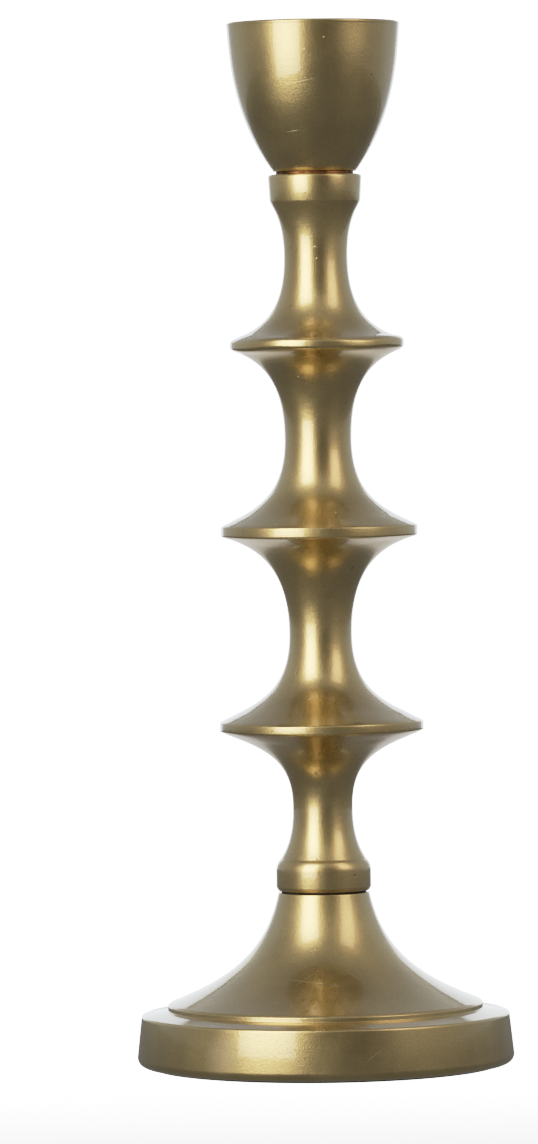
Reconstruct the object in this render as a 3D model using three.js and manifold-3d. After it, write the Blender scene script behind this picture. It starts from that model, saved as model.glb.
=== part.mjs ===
// A turned brass candlestick in three castings: a hollow base, a one-piece stem with three discs, and
// a candle cup. Millimetres, +Z up, origin at the centre of the felt underside.
// The stem's lower stud passes through the crown of the base into a nut, and the cup screws onto a
// second stud in the top of the stem. A thin washer lies in each of the two seams.

import * as THREE from "three";
import { mergeVertices } from "three/addons/utils/BufferGeometryUtils.js";
import Module from "manifold-3d";

const wasm = await Module();
wasm.setup();

// ---------------------------------------------------------------- driving dimensions

// Base casting
const BASE_RADIUS = 47.2; // of the drum, just above its rounded foot
const BASE_HEIGHT = 43.1; // from the metal's underside to the crown
const DRUM_TAPER = 1.1; // how much smaller the drum's radius is at its top
const DRUM_HEIGHT = 12.8; // from the metal's underside to the drum's top edge
const DRUM_FOOT_ROUND = 2.2;
const DRUM_TOP_ROUND = 0.7;
const DRUM_TOP_TURN = 80; // degrees that the edge is rounded through, up to the rising shelf
const SHELF_WIDTH = 5.9; // from the drum's top edge in to the step
const SHELF_RISE = 1.15;
const STEP_HEIGHT = 1.4;
const STEP_ROUND = 0.3;
const CROWN_RADIUS = 11.4;
const CONE_FOOT_SLOPE = 21.5; // degrees above level, where the cone meets the step
const CONE_CROWN_SLOPE = 78; // degrees above level, where the cone meets the crown
const CONE_HANDLES = [0.58, 0.56]; // lengths of the curve's handles at the crown and the foot
const CASTING_WALL = 3.2; // of the cone and the shelf
const CROWN_THICKNESS = 5;
const RIM_WALL = 3.2; // of the drum around the felt
const LEDGE_WIDTH = 2; // the backing board bears on it
const RECESS_DEPTH = 3.5; // from the metal's underside up to the ledge

// Felt and its backing board
const FELT_THICKNESS = 2;
const FELT_PROUD = 0.5; // how far the felt stands below the metal
const PAD_CLEARANCE = 0.3;

// Screw joints, metric coarse thread
const THREAD_RADIUS = 4;
const THREAD_PITCH = 1.25;
const THREAD_DEPTH = 0.7;
const THREAD_ROOT = 0.31; // flat along the root
const THREAD_CLEARANCE = 0.3; // between a stud and the hole it is held in, on the radius
const HOLE_CLEARANCE = 0.5; // between a stud and a washer or the crown, on the radius
const STUD_CHAMFER = 0.6;
const HOLE_RUN_OUT = 0.8; // depth of a blind hole past the end of its stud
const STUD_IN_STEM_FOOT = 14;
const STUD_BELOW_NUT = 2.2;
const STUD_IN_STEM_TOP = 11;
const STUD_IN_CUP = 5;

// Nut and washers under the crown
const WASHER_RADIUS = 8;
const WASHER_THICKNESS = 1.6;
const LOCK_WASHER_RADIUS = 7.2;
const LOCK_WASHER_THICKNESS = 2;
const LOCK_WASHER_SPLIT = 12; // degrees
const NUT_ACROSS_FLATS = 13;
const NUT_HEIGHT = 6.5;
const NUT_CHAMFER = 0.9;
const NUT_CHAMFER_SLOPE = 30; // degrees from level

// Washers in the seams
const STEM_WASHER_RADIUS = 10.6;
const STEM_WASHER_THICKNESS = 0.5;
const CUP_WASHER_RADIUS = 9.7;
const CUP_WASHER_THICKNESS = 0.7;

// Stem casting, from the foot up: a collar, then coves with a disc between each two, then a collar
const FOOT_COLLAR = { radius: 11.85, height: 5.2, chamferHeight: 0.9, chamferWidth: 0.45 };
const FOOT_SHOULDER = { height: 2.8, radius: 10.6 };
const COVES = [
  { waist: 7.45, below: 13.1, above: 18.9, slopeBelow: 62, slopeAbove: 23 },
  { waist: 7.85, below: 21.7, above: 24.4, slopeBelow: 25, slopeAbove: 15 },
  { waist: 8.38, below: 21.7, above: 22.1, slopeBelow: 25, slopeAbove: 19 },
  { waist: 7.95, below: 20.4, above: 13.9, slopeBelow: 16, slopeAbove: 68 },
];
const WAIST_HANDLE = 0.65; // share of a cove's half height
const RIM_HANDLE = 0.6; // share of a cove's depth
const DISC_EDGE_TURN = 60; // degrees that each corner of a disc's rim is rounded through
const DISCS = [
  { radius: 25.5, thickness: 2.5, round: 0.5 },
  { radius: 24.6, thickness: 2.8, round: 0.5 },
  { radius: 21.8, thickness: 2.9, round: 1.1 },
];
const TOP_COLLAR = { lowerRadius: 11.35, radius: 11.7, height: 6.6, round: 0.7 };

// Candle cup
const CUP_HEIGHT = 37.2;
const CUP_FOOT_RADIUS = 10.3;
const CUP_MOUTH_RADIUS = 21.7;
const CUP_WALL = 2.2;
const CUP_LIP_ROUND = 0.55;
const CUP_FOOT_HANDLE = { out: 10.6, up: 14.3 };
const CUP_MOUTH_HANDLE = { in: 0.8, down: 8 };
const SOCKET_RADIUS = 11.25; // for a 22 mm candle
const SOCKET_DEPTH = 12;
const SOCKET_SHOULDER_RISE = 2.2; // the bowl's floor falls this much towards the socket
const SOCKET_FLOOR = 1.5; // metal left above the tapped hole

// Facets
const BASE_FACETS = 48;
const CUP_FACETS = 36;
const STEM_FACETS = 32;
const SMALL_FACETS = 24;
const THREAD_FACETS = 12;
const CURVE_STEPS = 6;
const ROUND_STEPS = 3;
const DISC_EDGE_STEPS = 2;

// Cutting
const MERGE_DISTANCE = 1e-4; // points nearer than this are one point
const TRIM_ALLOWANCE = 0.1; // radius beyond a thread's crest of the bar that it is cut from
const CUT_PAST = 1; // how far a cutter runs out of an open end
const SPARE_PITCHES = 2; // of thread past each end, before it is trimmed

// ---------------------------------------------------------------- worked-out heights and sizes

const METAL_FOOT_Z = FELT_PROUD;
const CROWN_Z = METAL_FOOT_Z + BASE_HEIGHT;
const CROWN_UNDERSIDE_Z = CROWN_Z - CROWN_THICKNESS;
const LEDGE_Z = METAL_FOOT_Z + RECESS_DEPTH;
const RECESS_RADIUS = BASE_RADIUS - RIM_WALL;
const PAD_RADIUS = RECESS_RADIUS - PAD_CLEARANCE;
const BOARD_THICKNESS = LEDGE_Z - FELT_THICKNESS;

const LOCK_WASHER_Z = CROWN_UNDERSIDE_Z - WASHER_THICKNESS - LOCK_WASHER_THICKNESS;
const NUT_Z = LOCK_WASHER_Z - NUT_HEIGHT;

const STEM_Z = CROWN_Z + STEM_WASHER_THICKNESS;
const STEM_LENGTH =
  FOOT_COLLAR.height +
  FOOT_SHOULDER.height +
  COVES.reduce((sum, cove) => sum + cove.below + cove.above, 0) +
  DISCS.reduce((sum, disc) => sum + disc.thickness, 0) +
  TOP_COLLAR.height;
const STEM_TOP_Z = STEM_Z + STEM_LENGTH;
const CUP_Z = STEM_TOP_Z + CUP_WASHER_THICKNESS;

const STEM_STUD_LOW = NUT_Z - STUD_BELOW_NUT - STEM_Z; // in the stem's own frame
const STEM_STUD_HIGH = STUD_IN_STEM_FOOT;
const CUP_STUD_LOW = STEM_LENGTH - STUD_IN_STEM_TOP;
const CUP_STUD_HIGH = STEM_LENGTH + CUP_WASHER_THICKNESS + STUD_IN_CUP;
const CUP_HOLE_DEPTH = STUD_IN_CUP + HOLE_RUN_OUT;
const SOCKET_FLOOR_HEIGHT = CUP_HOLE_DEPTH + SOCKET_FLOOR;
const PLAIN_HOLE_RADIUS = THREAD_RADIUS + HOLE_CLEARANCE;

// ---------------------------------------------------------------- solids

const radians = THREE.MathUtils.degToRad;

function point(radius, height) {
  return new THREE.Vector2(radius, height);
}

// A solid of revolution about +Z. The profile is a list of points (radius, height), and runs upwards
// on its outer side.
function turned(profile, facets) {
  const geometry = new THREE.LatheGeometry(profile, facets);
  geometry.rotateX(Math.PI / 2);
  return geometry;
}

function solidOf(geometry) {
  const bare = new THREE.BufferGeometry();
  bare.setAttribute("position", geometry.getAttribute("position"));
  bare.setIndex(geometry.getIndex());
  const merged = mergeVertices(bare, MERGE_DISTANCE);
  const index = merged.getIndex().array;
  const triangles = [];
  for (let i = 0; i < index.length; i += 3) {
    const [a, b, c] = index.slice(i, i + 3);
    if (a !== b && b !== c && c !== a) triangles.push(a, b, c);
  }
  const mesh = new wasm.Mesh({
    numProp: 3,
    vertProperties: merged.getAttribute("position").array,
    triVerts: new Uint32Array(triangles),
  });
  return new wasm.Manifold(mesh);
}

function geometryOf(solid) {
  const mesh = solid.getMesh();
  const geometry = new THREE.BufferGeometry();
  geometry.setAttribute("position", new THREE.BufferAttribute(mesh.vertProperties, 3));
  geometry.setIndex(new THREE.BufferAttribute(mesh.triVerts, 1));
  geometry.computeVertexNormals();
  return geometry;
}

// Points on an arc about a centre, between two directions in degrees from outwards.
function rounding(centre, radius, fromDegrees, toDegrees, steps = ROUND_STEPS) {
  const points = [];
  for (let i = 0; i <= steps; i++) {
    const angle = radians(fromDegrees + ((toDegrees - fromDegrees) * i) / steps);
    points.push(point(centre.x + radius * Math.cos(angle), centre.y + radius * Math.sin(angle)));
  }
  return points;
}

// A plain disc or ring between two heights.
function ring(innerRadius, outerRadius, thickness, facets) {
  const profile = [
    point(innerRadius, 0),
    point(outerRadius, 0),
    point(outerRadius, thickness),
    point(innerRadius, thickness),
  ];
  if (innerRadius > 0) profile.push(point(innerRadius, 0));
  return turned(profile, facets);
}

// A right-hand thread about +Z that covers at least low to high. A ridge crosses the +X direction at
// every height that is a whole number of pitches above datum. Each row of points climbs one pitch in
// a turn, so the end of a row meets the start of the row that is one pitch above it.
function threadGeometry(low, high, datum, grow) {
  const flank = (THREAD_PITCH - THREAD_ROOT) / 2;
  const rootRadius = THREAD_RADIUS - THREAD_DEPTH + grow;
  const crestRadius = THREAD_RADIUS + grow;
  const rowsInPitch = [
    [0, rootRadius],
    [THREAD_ROOT, rootRadius],
    [THREAD_ROOT + flank, crestRadius],
  ];
  const perPitch = rowsInPitch.length;
  const firstPitch = Math.floor((low - datum) / THREAD_PITCH) - SPARE_PITCHES;
  const lastPitch = Math.ceil((high - datum) / THREAD_PITCH) + SPARE_PITCHES;
  const rows = (lastPitch - firstPitch) * perPitch;
  const positions = [];
  for (let row = 0; row <= rows; row++) {
    const [rise, radius] = rowsInPitch[row % perPitch];
    const rowHeight = datum + (firstPitch + Math.floor(row / perPitch)) * THREAD_PITCH + rise;
    for (let i = 0; i < THREAD_FACETS; i++) {
      const turn = i / THREAD_FACETS;
      const angle = 2 * Math.PI * turn;
      const height = rowHeight + THREAD_PITCH * turn;
      positions.push(radius * Math.cos(angle), radius * Math.sin(angle), height);
    }
  }
  const vertex = (i, row) =>
    i < THREAD_FACETS ? row * THREAD_FACETS + i : (row + perPitch) * THREAD_FACETS;
  const triangles = [];
  for (let i = 0; i < THREAD_FACETS; i++) {
    const top = i < THREAD_FACETS - 1 ? rows : rows - perPitch;
    for (let row = 0; row < top; row++) {
      triangles.push(vertex(i, row), vertex(i + 1, row), vertex(i + 1, row + 1));
      triangles.push(vertex(i, row), vertex(i + 1, row + 1), vertex(i, row + 1));
    }
  }
  const topLoop = [];
  const bottomLoop = [];
  for (let i = 0; i < THREAD_FACETS; i++) {
    topLoop.push(vertex(i, rows));
    bottomLoop.push(vertex(i, 0));
  }
  for (let step = 1; step <= perPitch; step++) {
    topLoop.push(vertex(THREAD_FACETS - 1, rows - step));
    bottomLoop.push(vertex(0, perPitch + 1 - step));
  }
  const bottomCentre = positions.length / 3;
  positions.push(0, 0, datum + firstPitch * THREAD_PITCH);
  const topCentre = bottomCentre + 1;
  positions.push(0, 0, datum + lastPitch * THREAD_PITCH + THREAD_PITCH);
  topLoop.forEach((a, k) => triangles.push(a, topLoop[(k + 1) % topLoop.length], topCentre));
  bottomLoop.forEach((a, k) =>
    triangles.push(bottomLoop[(k + 1) % bottomLoop.length], a, bottomCentre),
  );
  const geometry = new THREE.BufferGeometry();
  geometry.setAttribute("position", new THREE.Float32BufferAttribute(positions, 3));
  geometry.setIndex(triangles);
  return geometry;
}

// A stud with chamfered ends.
function studGeometry(low, high, datum) {
  const outside = THREAD_RADIUS + TRIM_ALLOWANCE;
  const end = outside - STUD_CHAMFER;
  const bar = turned(
    [
      point(0, low),
      point(end, low),
      point(outside, low + STUD_CHAMFER),
      point(outside, high - STUD_CHAMFER),
      point(end, high),
      point(0, high),
    ],
    THREAD_FACETS,
  );
  const thread = solidOf(threadGeometry(low, high, datum, 0));
  return geometryOf(thread.intersect(solidOf(bar)));
}

// What a tap takes out between two heights, with the hole's mouth countersunk. The open end of the
// hole is at low when mouth is -1, and at high when it is 1; mouth 0 opens both ends.
function tappedHole(low, high, datum, mouth) {
  const start = mouth <= 0 ? low - CUT_PAST : low;
  const end = mouth >= 0 ? high + CUT_PAST : high;
  const outside = THREAD_RADIUS + THREAD_CLEARANCE + TRIM_ALLOWANCE;
  const trim = turned(
    [point(0, start), point(outside, start), point(outside, end), point(0, end)],
    THREAD_FACETS,
  );
  let cut = solidOf(threadGeometry(start, end, datum, THREAD_CLEARANCE)).intersect(solidOf(trim));
  const cone = (height, direction) =>
    turned(
      direction < 0
        ? [
            point(0, height - CUT_PAST),
            point(outside + CUT_PAST, height - CUT_PAST),
            point(0, height + outside),
          ]
        : [
            point(0, height - outside),
            point(outside + CUT_PAST, height + CUT_PAST),
            point(0, height + CUT_PAST),
          ],
      SMALL_FACETS,
    );
  if (mouth <= 0) cut = cut.add(solidOf(cone(low, -1)));
  if (mouth >= 0) cut = cut.add(solidOf(cone(high, 1)));
  return cut;
}

// ---------------------------------------------------------------- base

// The cone's outline from the crown down to the step.
function coneCurve() {
  const foot = point(stepRadius(), METAL_FOOT_Z + DRUM_HEIGHT + SHELF_RISE + STEP_HEIGHT);
  const crown = point(CROWN_RADIUS, CROWN_Z);
  const crownReach = CONE_HANDLES[0] * (crown.y - foot.y);
  const footReach = CONE_HANDLES[1] * (foot.x - crown.x);
  const crownAngle = radians(CONE_CROWN_SLOPE);
  const footAngle = radians(CONE_FOOT_SLOPE);
  return new THREE.CubicBezierCurve(
    crown,
    point(crown.x + crownReach * Math.cos(crownAngle), crown.y - crownReach * Math.sin(crownAngle)),
    point(foot.x - footReach * Math.cos(footAngle), foot.y + footReach * Math.sin(footAngle)),
    foot,
  );
}

function stepRadius() {
  return BASE_RADIUS - DRUM_TAPER - DRUM_TOP_ROUND - SHELF_WIDTH;
}

// Inside of the cone: the outline moved in by the wall, below the crown's underside.
function coneInside() {
  const curve = coneCurve();
  const steps = 2 * CURVE_STEPS;
  const inside = [];
  for (let i = 0; i <= steps; i++) {
    const at = curve.getPointAt(i / steps);
    const along = curve.getTangentAt(i / steps);
    inside.push(point(at.x + along.y * CASTING_WALL, at.y - along.x * CASTING_WALL));
  }
  const below = inside.findIndex((p) => p.y < CROWN_UNDERSIDE_Z);
  const a = inside[below - 1];
  const b = inside[below];
  const share = (a.y - CROWN_UNDERSIDE_Z) / (a.y - b.y);
  return [a.clone().lerp(b, share), ...inside.slice(below)];
}

function baseCasting() {
  const drumTopRadius = BASE_RADIUS - DRUM_TAPER;
  const drumTopZ = METAL_FOOT_Z + DRUM_HEIGHT;
  const shelfZ = drumTopZ + SHELF_RISE;
  const stepTop = shelfZ + STEP_HEIGHT;
  const step = stepRadius();
  const cavityRadius = RECESS_RADIUS - LEDGE_WIDTH;
  const outside = [
    point(RECESS_RADIUS, METAL_FOOT_Z),
    ...rounding(
      point(BASE_RADIUS - DRUM_FOOT_ROUND, METAL_FOOT_Z + DRUM_FOOT_ROUND),
      DRUM_FOOT_ROUND,
      -90,
      0,
    ),
    ...rounding(
      point(drumTopRadius - DRUM_TOP_ROUND, drumTopZ - DRUM_TOP_ROUND),
      DRUM_TOP_ROUND,
      0,
      DRUM_TOP_TURN,
    ),
    point(step, shelfZ),
    point(step, stepTop - STEP_ROUND),
    ...coneCurve()
      .getSpacedPoints(2 * CURVE_STEPS)
      .reverse()
      .map((p, i) => (i === 0 ? point(p.x - STEP_ROUND, p.y) : p)),
  ];
  const inside = [
    point(PLAIN_HOLE_RADIUS, CROWN_Z),
    point(PLAIN_HOLE_RADIUS, CROWN_UNDERSIDE_Z),
    ...coneInside(),
    point(cavityRadius, drumTopZ - CASTING_WALL),
    point(cavityRadius, LEDGE_Z),
    point(RECESS_RADIUS, LEDGE_Z),
    point(RECESS_RADIUS, METAL_FOOT_Z),
  ];
  return turned([...outside, ...inside], BASE_FACETS);
}

function lockWasher() {
  const half = LOCK_WASHER_SPLIT / 2;
  const outline = new THREE.Shape();
  outline.absarc(0, 0, LOCK_WASHER_RADIUS, radians(half), radians(360 - half), false);
  outline.absarc(0, 0, PLAIN_HOLE_RADIUS, radians(360 - half), radians(half), true);
  return new THREE.ExtrudeGeometry(outline, {
    depth: LOCK_WASHER_THICKNESS,
    bevelEnabled: false,
    curveSegments: SMALL_FACETS,
  });
}

function baseNut() {
  const cornerRadius = NUT_ACROSS_FLATS / Math.sqrt(3);
  const hexagon = new THREE.CylinderGeometry(cornerRadius, cornerRadius, NUT_HEIGHT, 6);
  hexagon.rotateX(Math.PI / 2);
  hexagon.translate(0, 0, NUT_HEIGHT / 2);
  const flat = cornerRadius - NUT_CHAMFER;
  const rise = NUT_CHAMFER * Math.tan(radians(NUT_CHAMFER_SLOPE));
  const corners = turned(
    [
      point(0, 0),
      point(flat, 0),
      point(cornerRadius, rise),
      point(cornerRadius, NUT_HEIGHT - rise),
      point(flat, NUT_HEIGHT),
      point(0, NUT_HEIGHT),
    ],
    SMALL_FACETS,
  );
  const hole = tappedHole(0, NUT_HEIGHT, STEM_Z - NUT_Z, 0);
  return geometryOf(solidOf(hexagon).intersect(solidOf(corners)).subtract(hole));
}

// ---------------------------------------------------------------- stem

// Half a cove, from its waist to the edge of the disc or collar that it runs out to.
function coveHalf(waist, edge, slope) {
  const angle = radians(slope);
  const rise = edge.y - waist.y;
  const reach = RIM_HANDLE * (edge.x - waist.x);
  const curve = new THREE.CubicBezierCurve(
    waist,
    point(waist.x, waist.y + WAIST_HANDLE * rise),
    point(edge.x - reach * Math.cos(angle), edge.y - Math.sign(rise) * reach * Math.sin(angle)),
    edge,
  );
  return curve.getSpacedPoints(CURVE_STEPS);
}

// The rounded or nearly square rim of a disc whose underside is at height z.
function discRim({ radius, thickness, round }, z) {
  return [
    ...rounding(point(radius - round, z + round), round, -DISC_EDGE_TURN, 0, DISC_EDGE_STEPS),
    ...rounding(
      point(radius - round, z + thickness - round),
      round,
      0,
      DISC_EDGE_TURN,
      DISC_EDGE_STEPS,
    ),
  ];
}

function stemProfile() {
  const { radius, height, chamferHeight, chamferWidth } = FOOT_COLLAR;
  const bow = radius - FOOT_SHOULDER.radius;
  const arc = (FOOT_SHOULDER.height ** 2 + bow ** 2) / (2 * bow);
  const shoulderEnd = THREE.MathUtils.radToDeg(Math.asin(FOOT_SHOULDER.height / arc));
  const profile = [
    point(0, 0),
    point(radius - chamferWidth, 0),
    point(radius, chamferHeight),
    ...rounding(point(radius - arc, height), arc, 0, shoulderEnd),
  ];
  let z = height + FOOT_SHOULDER.height;
  let lowerEdge = FOOT_SHOULDER.radius;
  COVES.forEach((cove, i) => {
    const disc = DISCS[i];
    const waist = point(cove.waist, z + cove.below);
    const top = waist.y + cove.above;
    const lowerInset = i === 0 ? 0 : DISCS[i - 1].round / 2;
    const upperInset = disc ? disc.round / 2 : 0;
    const upperEdge = disc ? disc.radius : TOP_COLLAR.lowerRadius;
    const lower = coveHalf(waist, point(lowerEdge - lowerInset, z), cove.slopeBelow);
    const upper = coveHalf(waist, point(upperEdge - upperInset, top), cove.slopeAbove);
    profile.push(...lower.reverse().slice(1), ...upper.slice(1, disc ? -1 : undefined));
    if (disc) {
      profile.push(...discRim(disc, top));
      z = top + disc.thickness;
      lowerEdge = disc.radius;
    } else {
      z = top;
    }
  });
  const collarTop = z + TOP_COLLAR.height;
  profile.push(
    ...rounding(
      point(TOP_COLLAR.radius - TOP_COLLAR.round, collarTop - TOP_COLLAR.round),
      TOP_COLLAR.round,
      0,
      90,
    ),
    point(0, collarTop),
  );
  return profile;
}

// The studs stay in the stem for good, so their two holes are bored plain, clear of the crests.
function stem() {
  const profile = stemProfile();
  const bore = THREAD_RADIUS + THREAD_CLEARANCE;
  const footDepth = STUD_IN_STEM_FOOT + HOLE_RUN_OUT;
  const topDepth = STUD_IN_STEM_TOP + HOLE_RUN_OUT;
  const footHole = [point(0, footDepth), point(bore, footDepth), point(bore, 0)];
  const topHole = [
    point(bore, STEM_LENGTH),
    point(bore, STEM_LENGTH - topDepth),
    point(0, STEM_LENGTH - topDepth),
  ];
  return turned([...footHole, ...profile.slice(1, -1), ...topHole], STEM_FACETS);
}

// ---------------------------------------------------------------- candle cup

function cupCurve() {
  return new THREE.CubicBezierCurve(
    point(CUP_FOOT_RADIUS, 0),
    point(CUP_FOOT_RADIUS + CUP_FOOT_HANDLE.out, CUP_FOOT_HANDLE.up),
    point(CUP_MOUTH_RADIUS - CUP_MOUTH_HANDLE.in, CUP_HEIGHT - CUP_MOUTH_HANDLE.down),
    point(CUP_MOUTH_RADIUS, CUP_HEIGHT),
  );
}

// The bowl follows the outside at the cup's wall down to a sloped floor, which leads to the socket.
function candleCup() {
  const outside = cupCurve().getSpacedPoints(2 * CURVE_STEPS);
  const shoulderZ = SOCKET_FLOOR_HEIGHT + SOCKET_DEPTH;
  const bowlFloorZ = shoulderZ + SOCKET_SHOULDER_RISE;
  const bowl = outside
    .filter((p) => p.y > bowlFloorZ && p.y < CUP_HEIGHT - CUP_WALL)
    .map((p) => point(p.x - CUP_WALL, p.y))
    .reverse();
  const lip = [
    point(CUP_MOUTH_RADIUS, CUP_HEIGHT - CUP_LIP_ROUND),
    point(CUP_MOUTH_RADIUS - CUP_LIP_ROUND, CUP_HEIGHT),
    point(CUP_MOUTH_RADIUS - CUP_WALL + CUP_LIP_ROUND, CUP_HEIGHT),
    point(CUP_MOUTH_RADIUS - CUP_WALL, CUP_HEIGHT - CUP_LIP_ROUND),
  ];
  const wall = outside.slice(0, -1);
  const profile = [
    point(0, 0),
    ...wall,
    ...lip,
    ...bowl,
    point(bowl[bowl.length - 1].x - SOCKET_SHOULDER_RISE / 2, bowlFloorZ),
    point(SOCKET_RADIUS, shoulderZ),
    point(SOCKET_RADIUS, SOCKET_FLOOR_HEIGHT),
    point(0, SOCKET_FLOOR_HEIGHT),
  ];
  const hole = tappedHole(0, CUP_HOLE_DEPTH, -CUP_WASHER_THICKNESS, -1);
  return geometryOf(solidOf(turned(profile, CUP_FACETS)).subtract(hole));
}

// ---------------------------------------------------------------- materials and assembly

function brass() {
  return new THREE.MeshStandardMaterial({ color: 0x8c7a4f, roughness: 0.38, metalness: 1 });
}

function steel() {
  return new THREE.MeshStandardMaterial({ color: 0x9a9a9c, roughness: 0.45, metalness: 1 });
}

function copper() {
  return new THREE.MeshStandardMaterial({ color: 0xa4622f, roughness: 0.5, metalness: 1 });
}

function plain(color) {
  return new THREE.MeshStandardMaterial({ color, roughness: 0.95, metalness: 0 });
}

function piece(name, geometry, material, z = 0) {
  const mesh = new THREE.Mesh(geometry, material);
  mesh.name = name;
  mesh.position.z = z;
  return mesh;
}

const FIBRE_COLOUR = 0x2b2420;
const CARD_COLOUR = 0x6f5f47;
const FELT_COLOUR = 0x1f1f1f;

const base = new THREE.Group();
base.add(
  piece("base_casting", baseCasting(), brass()),
  piece(
    "crown_washer",
    ring(PLAIN_HOLE_RADIUS, WASHER_RADIUS, WASHER_THICKNESS, SMALL_FACETS),
    steel(),
    CROWN_UNDERSIDE_Z - WASHER_THICKNESS,
  ),
  piece("lock_washer", lockWasher(), steel(), LOCK_WASHER_Z),
  piece("base_nut", baseNut(), steel(), NUT_Z),
  piece(
    "backing_board",
    ring(0, PAD_RADIUS, BOARD_THICKNESS, BASE_FACETS),
    plain(CARD_COLOUR),
    FELT_THICKNESS,
  ),
  piece("felt_pad", ring(0, PAD_RADIUS, FELT_THICKNESS, BASE_FACETS), plain(FELT_COLOUR)),
  piece(
    "stem_washer",
    ring(PLAIN_HOLE_RADIUS, STEM_WASHER_RADIUS, STEM_WASHER_THICKNESS, STEM_FACETS),
    plain(FIBRE_COLOUR),
    CROWN_Z,
  ),
);

const stemAssembly = new THREE.Group();
stemAssembly.position.z = STEM_Z;
stemAssembly.add(
  piece("stem", stem(), brass()),
  piece("stem_stud", studGeometry(STEM_STUD_LOW, STEM_STUD_HIGH, 0), steel()),
  piece("cup_stud", studGeometry(CUP_STUD_LOW, CUP_STUD_HIGH, STEM_LENGTH), steel()),
  piece(
    "cup_washer",
    ring(PLAIN_HOLE_RADIUS, CUP_WASHER_RADIUS, CUP_WASHER_THICKNESS, STEM_FACETS),
    copper(),
    STEM_LENGTH,
  ),
);

const cup = new THREE.Group();
cup.position.z = CUP_Z;
cup.add(piece("candle_cup", candleCup(), brass()));

const candlestick = new THREE.Group();
candlestick.name = "candlestick";
candlestick.add(base, stemAssembly, cup);

export default candlestick;
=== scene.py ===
import math

import bmesh
import bpy
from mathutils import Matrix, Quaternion, Vector


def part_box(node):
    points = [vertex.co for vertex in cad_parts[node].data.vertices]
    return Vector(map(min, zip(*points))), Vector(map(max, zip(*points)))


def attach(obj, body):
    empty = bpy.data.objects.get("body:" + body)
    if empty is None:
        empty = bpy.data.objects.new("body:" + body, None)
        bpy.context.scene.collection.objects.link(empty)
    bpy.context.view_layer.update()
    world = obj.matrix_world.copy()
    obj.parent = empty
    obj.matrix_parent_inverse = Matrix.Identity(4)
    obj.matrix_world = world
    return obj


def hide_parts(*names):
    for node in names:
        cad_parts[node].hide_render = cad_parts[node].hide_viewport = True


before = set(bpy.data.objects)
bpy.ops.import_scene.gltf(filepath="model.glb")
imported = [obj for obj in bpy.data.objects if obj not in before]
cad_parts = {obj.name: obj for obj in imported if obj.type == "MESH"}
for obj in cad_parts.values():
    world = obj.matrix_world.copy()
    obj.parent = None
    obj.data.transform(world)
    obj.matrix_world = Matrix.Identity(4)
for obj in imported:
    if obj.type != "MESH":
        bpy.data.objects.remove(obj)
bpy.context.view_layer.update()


# ------------------------------------------------------------------------------------------
# Base casting. The foot of the candlestick: one hollow brass casting with a flared cone that
# carries the stem, a narrow step and a drum. It is turned all over the outside on a lathe,
# brushed along the turning, then dipped in clear lacquer.

MM = 0.001
LATHE_SIDES = 288
EDGE_BREAK = 0.16
EDGE_STEPS = 4
SHARP_CORNER = 22


def arc(centre_x, centre_z, radius, from_angle, to_angle, steps):
    """Points of a round on an outline, with angles in degrees from straight out."""
    points = []
    for k in range(steps + 1):
        angle = math.radians(from_angle + (to_angle - from_angle) * k / steps)
        points.append((centre_x + radius * math.cos(angle), centre_z + radius * math.sin(angle)))
    return points


def sweep(start, handle_a, handle_b, end, steps):
    """Points of a smooth curve between two ends, bent by two handles."""
    points = []
    for k in range(steps + 1):
        t = k / steps
        s = 1 - t
        weights = (s * s * s, 3 * s * s * t, 3 * s * t * t, t * t * t)
        knots = (start, handle_a, handle_b, end)
        x = sum(w * p[0] for w, p in zip(weights, knots))
        z = sum(w * p[1] for w, p in zip(weights, knots))
        points.append((x, z))
    return points


def eased(points, size=EDGE_BREAK):
    """The outline with each sharp corner broken by a small round, as emery cloth leaves it."""
    out = [points[0]]
    for before, here, after in zip(points, points[1:], points[2:]):
        way_in = Vector((here[0] - before[0], here[1] - before[1]))
        way_out = Vector((after[0] - here[0], after[1] - here[1]))
        if way_in.length < 1e-6 or way_out.length < 1e-6:
            continue
        if way_in.angle(way_out) < math.radians(SHARP_CORNER):
            out.append(here)
            continue
        reach = min(size, way_in.length * 0.45, way_out.length * 0.45)
        corner = Vector(here)
        first = corner - way_in.normalized() * reach
        last = corner + way_out.normalized() * reach
        for k in range(EDGE_STEPS + 1):
            t = k / EDGE_STEPS
            p = first * (1 - t) ** 2 + corner * 2 * t * (1 - t) + last * t ** 2
            out.append((p.x, p.y))
    out.append(points[-1])
    return out


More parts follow.
